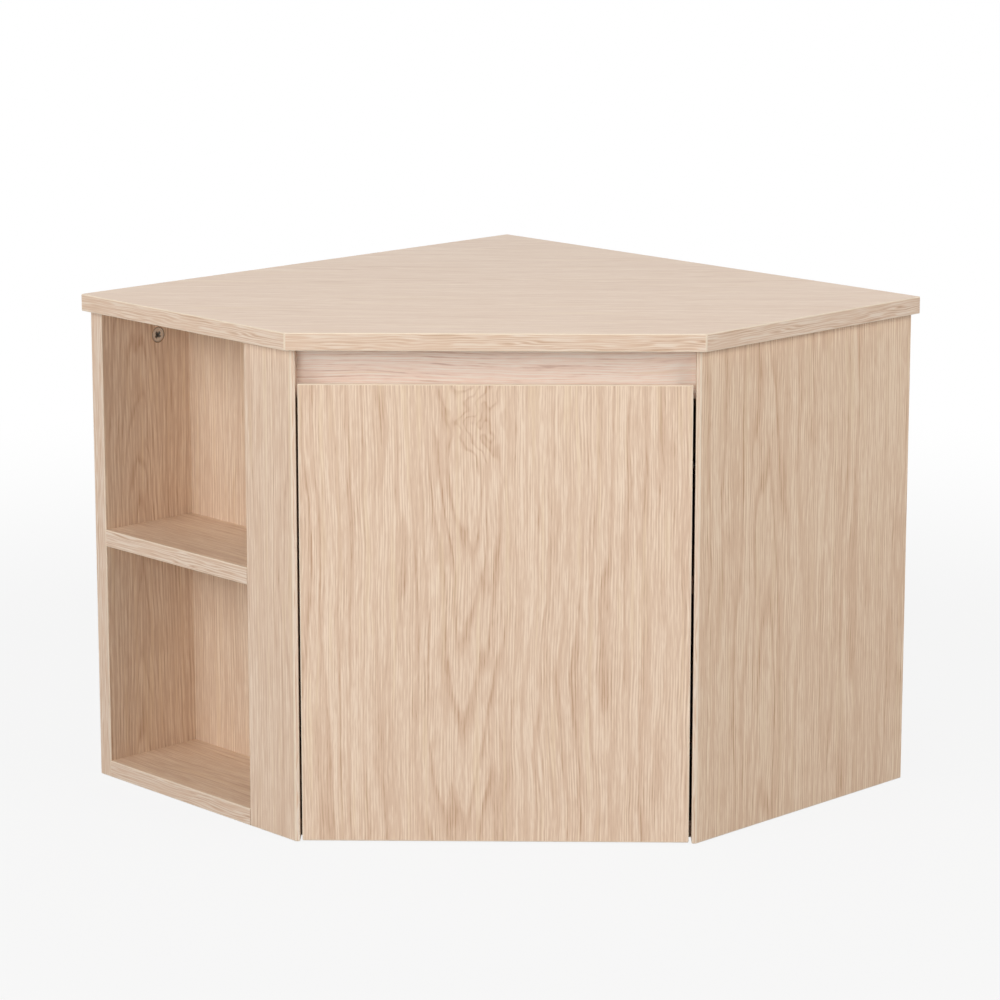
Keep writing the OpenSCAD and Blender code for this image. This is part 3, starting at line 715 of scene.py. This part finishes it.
def cup_boxes():
    """The box of each hinge cup, lower one first."""
    low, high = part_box("hinge_cups")
    cup_low = Vector((low.x + CUP_RIM, low.y, 0))
    cup_high = Vector((low.x + CUP_RIM + 2 * CUP_RADIUS, high.y, 0))
    middles = (low.z + CUP_RADIUS + CUP_EAR, high.z - CUP_RADIUS - CUP_EAR)
    return [(cup_low + UP * (z - CUP_RADIUS), cup_high + UP * (z + CUP_RADIUS)) for z in middles]


# ---- Operators: boards ----
class VANITY_OT_top(bpy.types.Operator):
    """Makes the five-sided top with its edge bands"""

    bl_idname = "vanity.top"
    bl_label = "Top"

    def execute(self, context):
        wall, side = PLAN.wall_len, PLAN.side_len
        outline = [left(0, 0), left(wall, 0), left(wall, side), right(wall, side), right(wall, 0)]
        top, cuts = saw_board("top_board", outline, [CORE, BAND, BAND, BAND, CORE],
                              (PLAN.top_low, PLAN.top_high, FACE, FACE))
        sheet = oak_sheet("oak_top", 31.0, depth=0.65)
        finish_board(top, cuts, ALONG_X, sheet, "top_panel")
        return {"FINISHED"}


class VANITY_OT_sides(bpy.types.Operator):
    """Makes the right side, the post and the boards along both walls"""

    bl_idname = "vanity.sides"
    bl_label = "Sides, post and wall boards"

    def execute(self, context):
        board, body, inner = PLAN.board, PLAN.body_out, PLAN.inner_out
        levels = (0, PLAN.top_low, BAND, CORE)
        outline = [right(body, 0), right(body, PLAN.body_off),
                   Vector((PLAN.mouth_x, PLAN.front_y, 0)),
                   right(inner, PLAN.inner_off), right(inner, 0)]
        side, cuts = saw_board("right_side", outline, [FACE, BAND, BAND, FACE, CORE], levels)
        take_bores(side)
        # The right side takes the warmer side ground: painted shade of the weaker sheen on this
        # side
        sheet = oak_sheet("oak_right_side", 42.0, figure=(337.0, 12.0, 22.0, -150.0),
                          knots=((251.0, 198.0, 10.0), (198.0, 200.0, 9.0),
                                 (100.0, 202.0, 9.0)),
                          ring_gap=16.0, hair_gap=3.0, yellow=0.3, ground=SIDE_SHADED_GROUND)
        finish_board(side, cuts, UP, sheet, "right_side_panel")

        outline = [left(body, PLAN.niche_end), left(body, PLAN.body_off),
                   Vector((-PLAN.mouth_x, PLAN.front_y, 0)),
                   left(inner, PLAN.inner_off), left(inner, PLAN.niche_end)]
        post, cuts = saw_board("niche_post", outline, [FACE, BAND, BAND, FACE, BAND], levels)
        take_bores(post)
        sheet = oak_sheet("oak_post", 57.0, sway=5.0, hair_gap=3.4, depth=0.8)
        finish_board(post, cuts, UP, sheet, "front_post")

        outline = [left(0, 0), left(body, 0), left(body, board), left(0, board)]
        back, cuts = saw_board("left_wall_board", outline, [FACE, BAND, FACE, CORE], levels)
        take_bores(back)
        # The left wall board takes the niche's darker ground: painted shade, as its face lines the
        # niche
        sheet = oak_sheet("oak_left_wall", 63.0, figure=(420.0, -290.0, 34.0, -55.0),
                          knots=((369.0, -288.0, 9.0), (318.0, -280.0, 10.0),
                                 (120.0, -270.0, 9.0)), hair_gap=3.6, ground=NICHE_SHADED_GROUND)
        finish_board(back, cuts, UP, sheet, "back_left_panel")

        outline = [right(board, 0), right(inner, 0), right(inner, board), right(board, board)]
        back, cuts = saw_board("right_wall_board", outline, [FACE, CORE, FACE, CORE], levels)
        take_bores(back)
        sheet = oak_sheet("oak_right_wall", 103.0)
        finish_board(back, cuts, UP, sheet, "back_right_panel")
        return {"FINISHED"}


class VANITY_OT_niche(bpy.types.Operator):
    """Makes the niche's partition, its end board and its shelf"""

    bl_idname = "vanity.niche"
    bl_label = "Niche"

    def execute(self, context):
        board, body, inner, niche = PLAN.board, PLAN.body_out, PLAN.inner_out, PLAN.niche_out
        near_end, far_end = PLAN.niche_end, PLAN.niche_end + board
        # All three boards take the niche's darker ground: painted shade of the niche's recess
        levels = (board, PLAN.top_low, CORE, CORE)
        outline = [left(niche, board), left(niche, far_end),
                   left(PLAN.cupboard_out, far_end), left(PLAN.cupboard_out, board)]
        partition, cuts = saw_board("niche_partition", outline, [FACE, BAND, FACE, CORE], levels)
        take_bores(partition)
        sheet = oak_sheet("oak_partition", 71.0, sway=5.0, hair_gap=3.6, depth=0.9,
                          ground=NICHE_SHADED_GROUND)
        finish_board(partition, cuts, UP, sheet, "partition_panel")

        outline = [left(inner, near_end), left(inner, far_end), left(niche, far_end),
                   left(niche, near_end)]
        end, cuts = saw_board("niche_end_board", outline, [CORE, FACE, CORE, FACE], levels)
        sheet = oak_sheet("oak_niche_end", 77.0, ground=NICHE_SHADED_GROUND)
        finish_board(end, cuts, UP, sheet, "niche_end_panel")

        outline = [left(body, board), left(body, near_end), left(niche, near_end),
                   left(niche, board)]
        shelf, cuts = saw_board("niche_shelf_board", outline, [BAND, CORE, CORE, CORE],
                                (PLAN.shelf_low, PLAN.shelf_high, FACE, FACE))
        sheet = oak_sheet("oak_niche_shelf", 83.0, ground=NICHE_SHADED_GROUND)
        finish_board(shelf, cuts, LEFT_OFF, sheet, "niche_shelf")
        return {"FINISHED"}


class VANITY_OT_floor(bpy.types.Operator):
    """Makes the floor of the niche and the cupboard, stepped around the post"""

    bl_idname = "vanity.floor"
    bl_label = "Floor"

    def execute(self, context):
        board, body, inner = PLAN.board, PLAN.body_out, PLAN.inner_out
        outline = [left(board, board), left(body, board), left(body, PLAN.inner_off - board),
                   right(inner, PLAN.inner_off), right(inner, board)]
        floor, cuts = saw_board("floor_board", outline, [CORE, BAND, BAND, CORE, CORE],
                                (0, board, FACE, FACE))
        far_out, far_off = body + board, PLAN.inner_off + board
        step = [left(inner, PLAN.niche_end), left(far_out, PLAN.niche_end),
                left(far_out, far_off), left(inner, far_off)]
        take_notch(floor, step, -board, 2 * board)
        take_bores(floor)
        # The floor takes the niche's darker ground: painted shade, as its top shows in the niche
        sheet = oak_sheet("oak_floor", 91.0, ground=NICHE_SHADED_GROUND)
        finish_board(floor, cuts, LEFT_OFF, sheet, "bottom_panel")
        return {"FINISHED"}


class VANITY_OT_rail(bpy.types.Operator):
    """Makes the rail behind the finger gap"""

    bl_idname = "vanity.rail"
    bl_label = "Front rail"

    def execute(self, context):
        rail_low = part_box("front_rail")[0].z
        back_x = PLAN.mouth_x + PLAN.board
        back_y = PLAN.inner_y + PLAN.board
        outline = [left(PLAN.inner_out, PLAN.inner_off), right(PLAN.inner_out, PLAN.inner_off),
                   Vector((back_x, back_y, 0)), Vector((-back_x, back_y, 0))]
        rail, cuts = saw_board("finger_rail", outline, [FACE, CORE, FACE, CORE],
                               (rail_low, PLAN.top_low, BAND, CORE))
        take_bores(rail)
        # The rail takes the paler rail ground: painted light on the rail in the shade of the top's
        # overhang
        sheet = oak_sheet("oak_rail", 97.0, ring_gap=4.5, hair_gap=2.2, depth=1.2,
                          ground=RAIL_LIT_GROUND)
        finish_board(rail, cuts, ALONG_X, sheet, "front_rail")
        return {"FINISHED"}


class VANITY_OT_loose_shelf(bpy.types.Operator):
    """Makes the loose shelf in the cupboard, notched around the niche"""

    bl_idname = "vanity.loose_shelf"
    bl_label = "Loose shelf"

    def execute(self, context):
        low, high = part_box("cupboard_shelf")
        gap = (PLAN.corner.y - high.y) * DIAGONAL - PLAN.board
        wall = PLAN.board + gap
        side = PLAN.inner_out - gap
        front_off = PLAN.inner_off + gap
        post_end = PLAN.niche_end + PLAN.board + gap
        partition = PLAN.cupboard_out - gap
        outline = [left(wall, wall), left(partition, wall), left(side, post_end),
                   left(side, front_off), right(side, front_off), right(side, wall)]
        shelf, cuts = saw_board("loose_shelf", outline, [CORE, CORE, CORE, BAND, CORE, CORE],
                                (low.z, high.z, FACE, FACE))
        far_out = PLAN.body_out + PLAN.board
        notch = [left(partition, -wall), left(far_out, -wall),
                 left(far_out, post_end), left(partition, post_end)]
        take_notch(shelf, notch, low.z - wall, high.z + wall)
        sheet = oak_sheet("oak_loose_shelf", 109.0)
        finish_board(shelf, cuts, ALONG_X, sheet, "cupboard_shelf")
        return {"FINISHED"}


class VANITY_OT_door(bpy.types.Operator):
    """Makes the door with its bevelled upper edge and its cup bores"""

    bl_idname = "vanity.door"
    bl_label = "Door"

    def execute(self, context):
        low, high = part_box("door")
        outline = [Vector((low.x, low.y, 0)), Vector((high.x, low.y, 0)),
                   Vector((high.x, high.y, 0)), Vector((low.x, high.y, 0))]
        bevel = (Vector((0, low.y + BEVEL_LAND, high.z)), Vector((0, DIAGONAL, DIAGONAL)), BAND)
        door, cuts = saw_board("door_leaf", outline, [FACE, BAND, FACE, BAND],
                               (low.z, high.z, BAND, BAND), [bevel])
        for cup_low, cup_high in cup_boxes():
            middle = (cup_low + cup_high) / 2
            start = Vector((middle.x, high.y + PLAN.board, middle.z))
            depth = high.y - cup_low.y + CUP_ROOM
            take_out(door, add_rod("cup_bore", start, Vector((0, -PLAN.board - depth, 0)),
                                   CUP_RADIUS))
        sheet = oak_sheet("oak_door", 115.0, figure=(112.0, -28.0, 34.0, 75.0),
                          knots=((388.0, -18.0, 21.0), (342.0, -15.0, 6.0), (235.0, -9.0, 5.0),
                                 (178.0, -50.0, 7.0), (135.0, -50.0, 6.0)), ring_gap=15.0)
        finish_board(door, cuts, UP, sheet, "door", "door")
        return {"FINISHED"}


# ---- Operators: fittings ----
def turned(normal, along, place):
    """A matrix that puts z on a normal and x along a direction, at a place."""
    side = normal.cross(along)
    turn = Matrix((along, side, normal)).transposed().to_4x4()
    return Matrix.Translation(place) @ turn


def cam_disc():
    """A cam lock under the origin, facing up: a disc with a raised rim and a cross recess."""
    rim_width, rim_height, inner_ring = 0.9 * MM, 0.35 * MM, 0.35 * MM
    cross_low, cross_high, cross_depth, cross_z = 4.4 * MM, 5.3 * MM, 9 * MM, -4.4 * MM
    arm_share = 0.36
    sunk = bpy.context.scene.vanity_sizes.cam_sunk
    disc = add_rod("cam_lock", UP * (-sunk - CAM_DEPTH), UP * CAM_DEPTH, CAM_RADIUS - CAM_SLIM,
                   64)
    bpy.ops.object.mode_set(mode="EDIT")
    bpy.ops.mesh.select_mode(type="FACE")
    bpy.ops.mesh.select_all(action="DESELECT")
    mesh = bmesh.from_edit_mesh(disc.data)
    for face in mesh.faces:
        face.select_set(face.normal.z > 0.9)
    bmesh.update_edit_mesh(disc.data)
    bpy.ops.mesh.inset(thickness=rim_width)
    bpy.ops.transform.translate(value=(0, 0, -rim_height))
    bpy.ops.mesh.inset(thickness=inner_ring)
    bpy.ops.object.mode_set(mode="OBJECT")
    for turn in (45, 135):
        start_fresh()
        bpy.ops.mesh.primitive_cone_add(vertices=4, radius1=cross_low, radius2=cross_high,
                                        depth=cross_depth, location=(0, 0, cross_z),
                                        rotation=(0, 0, math.radians(45)))
        arm = bake_place()
        arm.scale = (1.0, arm_share, 1.0)
        arm.rotation_euler = (0, 0, math.radians(turn))
        take_out(disc, bake_place())
    make_active(disc)
    bpy.ops.object.shade_smooth_by_angle(angle=math.radians(30))
    return disc


class VANITY_OT_cam_locks(bpy.types.Operator):
    """Makes the cam locks: a rimmed disc with a cross recess, copied to each joint"""

    bl_idname = "vanity.cam_locks"
    bl_label = "Cam locks"

    def execute(self, context):
        disc = cam_disc()
        disc.data.materials.append(
            cast_metal("zinc", context.scene.vanity_colours.zinc, rough=0.36,
                       grain_size=0.6 * MM, bump=0.05 * MM, metallic=0.85))
        for number, (spot, normal, along) in enumerate(body_cam_places(), 1):
            lock = disc.copy()
            lock.data = disc.data.copy()
            lock.name = "cam_lock_%02d" % number
            context.collection.objects.link(lock)
            lock.data.transform(turned(normal, along, spot))
            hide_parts("cam_locks")
            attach(lock, "carcass")
        bpy.data.objects.remove(disc)
        return {"FINISHED"}


class VANITY_OT_hinges(bpy.types.Operator):
    """Finishes the hinges, screws, pins, bolts, dowels and bumpers"""

    bl_idname = "vanity.hinges"
    bl_label = "Hinges and small fittings"

    def execute(self, context):
        tint = context.scene.vanity_colours.nickel
        nickel = cast_metal("nickel", tint, rough=0.26, grain_size=1.2 * MM, bump=0.02 * MM)
        pressed = cast_metal("pressed_steel", [0.72 * part for part in tint], rough=0.34,
                             grain_size=0.8 * MM, bump=0.03 * MM)
        finishes = {
            "hinge_cups": nickel, "hinge_arms": nickel, "hinge_links": pressed,
            "mounting_plates": pressed, "cup_screws": nickel, "plate_screws": nickel,
            "arm_screws": pressed, "cam_bolts": pressed, "shelf_pins": nickel,
            "dowels": turned_wood("beech"), "door_bumpers": soft_plastic("clear_bumper"),
        }
        for node, material in finishes.items():
            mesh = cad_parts[node].data
            mesh.materials.clear()
            mesh.materials.append(material)
        return {"FINISHED"}


# ---- Operators: stage ----
SENSOR_WIDTH = 36          # of the camera, in millimetres
# Lengths from here on are in metres
SIDE_LAMP_REACH, SIDE_LAMP_SIZE = 2.7, 1.5
# The other lamps: name, place, size and the setting of the power
LAMPS = (("front_softbox", (-0.9, -3.5, 1.1), 1.2, "front_power"),
         ("back_softbox", (0, 3.0, 1.1), 1.8, "back_power"),
         ("top_softbox", (0, -0.3, 2.6), 1.6, "top_power"))
FLOOR_RADIUS, FLOOR_DROP = 30, 0.5 * MM
# Where the floor begins to glow, where it is white, and how far it glows before that
GLOW_FROM, WHITE_FROM, LEAST_GLOW = 0.6, 1.8, 0.88
FLOOR_PAINT = (0.45, 0.446, 0.442, 1.0)
WHITE = (1, 1, 1, 1)


def add_lamp(name, place, target, size, power):
    """A square soft lamp at a place, turned to a target. Reflections show the white
    surroundings and not the lamps, so no board shines out in any view."""
    bpy.ops.object.light_add(type="AREA", location=place)
    lamp = bpy.context.object
    lamp.name = name
    lamp.data.shape = "SQUARE"
    lamp.data.size = size
    lamp.data.energy = power
    lamp.visible_glossy = False
    lamp.rotation_euler = (target - place).to_track_quat("-Z", "Y").to_euler()


def seen_rays(wire):
    """1 for rays of the camera, of reflections and through glass."""
    camera, glossy, through = (wire.node("ShaderNodeLightPath", output="Is %s Ray" % kind)
                               for kind in ("Camera", "Glossy", "Transmission"))
    return camera.math("MAXIMUM", glossy).math("MAXIMUM", through)


def floor_material():
    """Pale floor that keeps a soft shadow near the unit and fades to white far off."""
    material, wire = new_material("studio_floor")
    far = wire.node("ShaderNodeVectorMath", {"operation": "LENGTH"},
                    {0: wire.object_place()}, "Value")
    glow = far.between(GLOW_FROM, WHITE_FROM, LEAST_GLOW, 1.0) * seen_rays(wire)
    paint = wire.node("ShaderNodeBsdfDiffuse", None, {"Color": FLOOR_PAINT})
    white = wire.node("ShaderNodeEmission", None, {"Color": WHITE, "Strength": 1.0})
    mixed = wire.node("ShaderNodeMixShader", None, {0: glow, 1: paint, 2: white})
    wire.node("ShaderNodeOutputMaterial", None, {"Surface": mixed})
    return material


def surround(scene, ambient):
    """White light from all round, and white to the camera and in reflections."""
    world = bpy.data.worlds.new("studio")
    scene.world = world
    world.use_nodes = True
    world.node_tree.nodes.clear()
    wire = Wire(world.node_tree)
    strength = seen_rays(wire) * (1.0 - ambient) + ambient
    light = wire.node("ShaderNodeBackground", None, {"Color": WHITE, "Strength": strength})
    wire.node("ShaderNodeOutputWorld", None, {"Surface": light})


class VANITY_OT_stage(bpy.types.Operator):
    """Sets the camera, the lamps, the surrounding light and the floor"""

    bl_idname = "vanity.stage"
    bl_label = "Stage"

    def execute(self, context):
        stage = context.scene.vanity_stage
        start_fresh()
        bpy.ops.object.camera_add(location=stage.place,
                                  rotation=(math.pi / 2 - stage.pitch, 0, stage.turn))
        camera = context.object
        camera.data.sensor_width = SENSOR_WIDTH
        camera.data.lens = stage.lens
        camera.data.shift_y = stage.shift
        context.scene.camera = camera

        middle = Vector((0, 0, PLAN.top_low / 2))
        for name, turn, power in (("left_softbox", -stage.lamp_turn, stage.left_power),
                                  ("right_softbox", stage.lamp_turn, stage.right_power)):
            place = Vector((math.sin(turn) * SIDE_LAMP_REACH, -math.cos(turn) * SIDE_LAMP_REACH,
                            stage.lamp_height))
            add_lamp(name, place, middle, SIDE_LAMP_SIZE, power)
        for name, place, size, power in LAMPS:
            add_lamp(name, Vector(place), middle, size, getattr(stage, power))

        start_fresh()
        bpy.ops.mesh.primitive_circle_add(vertices=96, radius=FLOOR_RADIUS, fill_type="NGON",
                                          location=(0, 0, -FLOOR_DROP))
        floor = context.object
        floor.name = "studio_floor"
        floor.data.materials.append(floor_material())
        surround(context.scene, stage.ambient)
        context.scene.view_settings.view_transform = "Standard"
        return {"FINISHED"}


# ---- Panel and registration ----
class VANITY_PT_panel(bpy.types.Panel):
    """Lists the steps and the settings"""

    bl_idname = "VANITY_PT_panel"
    bl_label = "Corner Vanity Unit"
    bl_space_type = "VIEW_3D"
    bl_region_type = "UI"
    bl_category = "Vanity"

    def draw(self, context):
        for operator in OPERATORS:
            self.layout.operator(operator.bl_idname)
        for group_name in GROUPS:
            group = getattr(context.scene, group_name)
            box = self.layout.box()
            for name in group.bl_rna.properties.keys():
                if name not in ("rna_type", "name"):
                    box.prop(group, name)


OPERATORS = (VANITY_OT_top, VANITY_OT_sides, VANITY_OT_niche, VANITY_OT_floor, VANITY_OT_rail,
             VANITY_OT_loose_shelf, VANITY_OT_door, VANITY_OT_cam_locks, VANITY_OT_hinges,
             VANITY_OT_stage)
GROUPS = {"vanity_sizes": VanitySizes, "vanity_colours": VanityColours,
          "vanity_stage": VanityStage}
CLASSES = (*GROUPS.values(), *OPERATORS, VANITY_PT_panel)


def register():
    """Adds the operators, the panel and the scene's settings."""
    for made in CLASSES:
        bpy.utils.register_class(made)
    for name, group in GROUPS.items():
        setattr(bpy.types.Scene, name, PointerProperty(type=group))


def unregister():
    """Takes away what register has added."""
    for name in GROUPS:
        delattr(bpy.types.Scene, name)
    for made in reversed(CLASSES):
        bpy.utils.unregister_class(made)


def main():
    """Makes the whole scene."""
    register()
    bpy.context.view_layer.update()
    bpy.ops.vanity.stage()
    bpy.ops.vanity.top()
    bpy.ops.vanity.sides()
    bpy.ops.vanity.niche()
    bpy.ops.vanity.floor()
    bpy.ops.vanity.rail()
    bpy.ops.vanity.loose_shelf()
    bpy.ops.vanity.door()
    bpy.ops.vanity.cam_locks()
    bpy.ops.vanity.hinges()


if __name__ == "__main__":
    main()
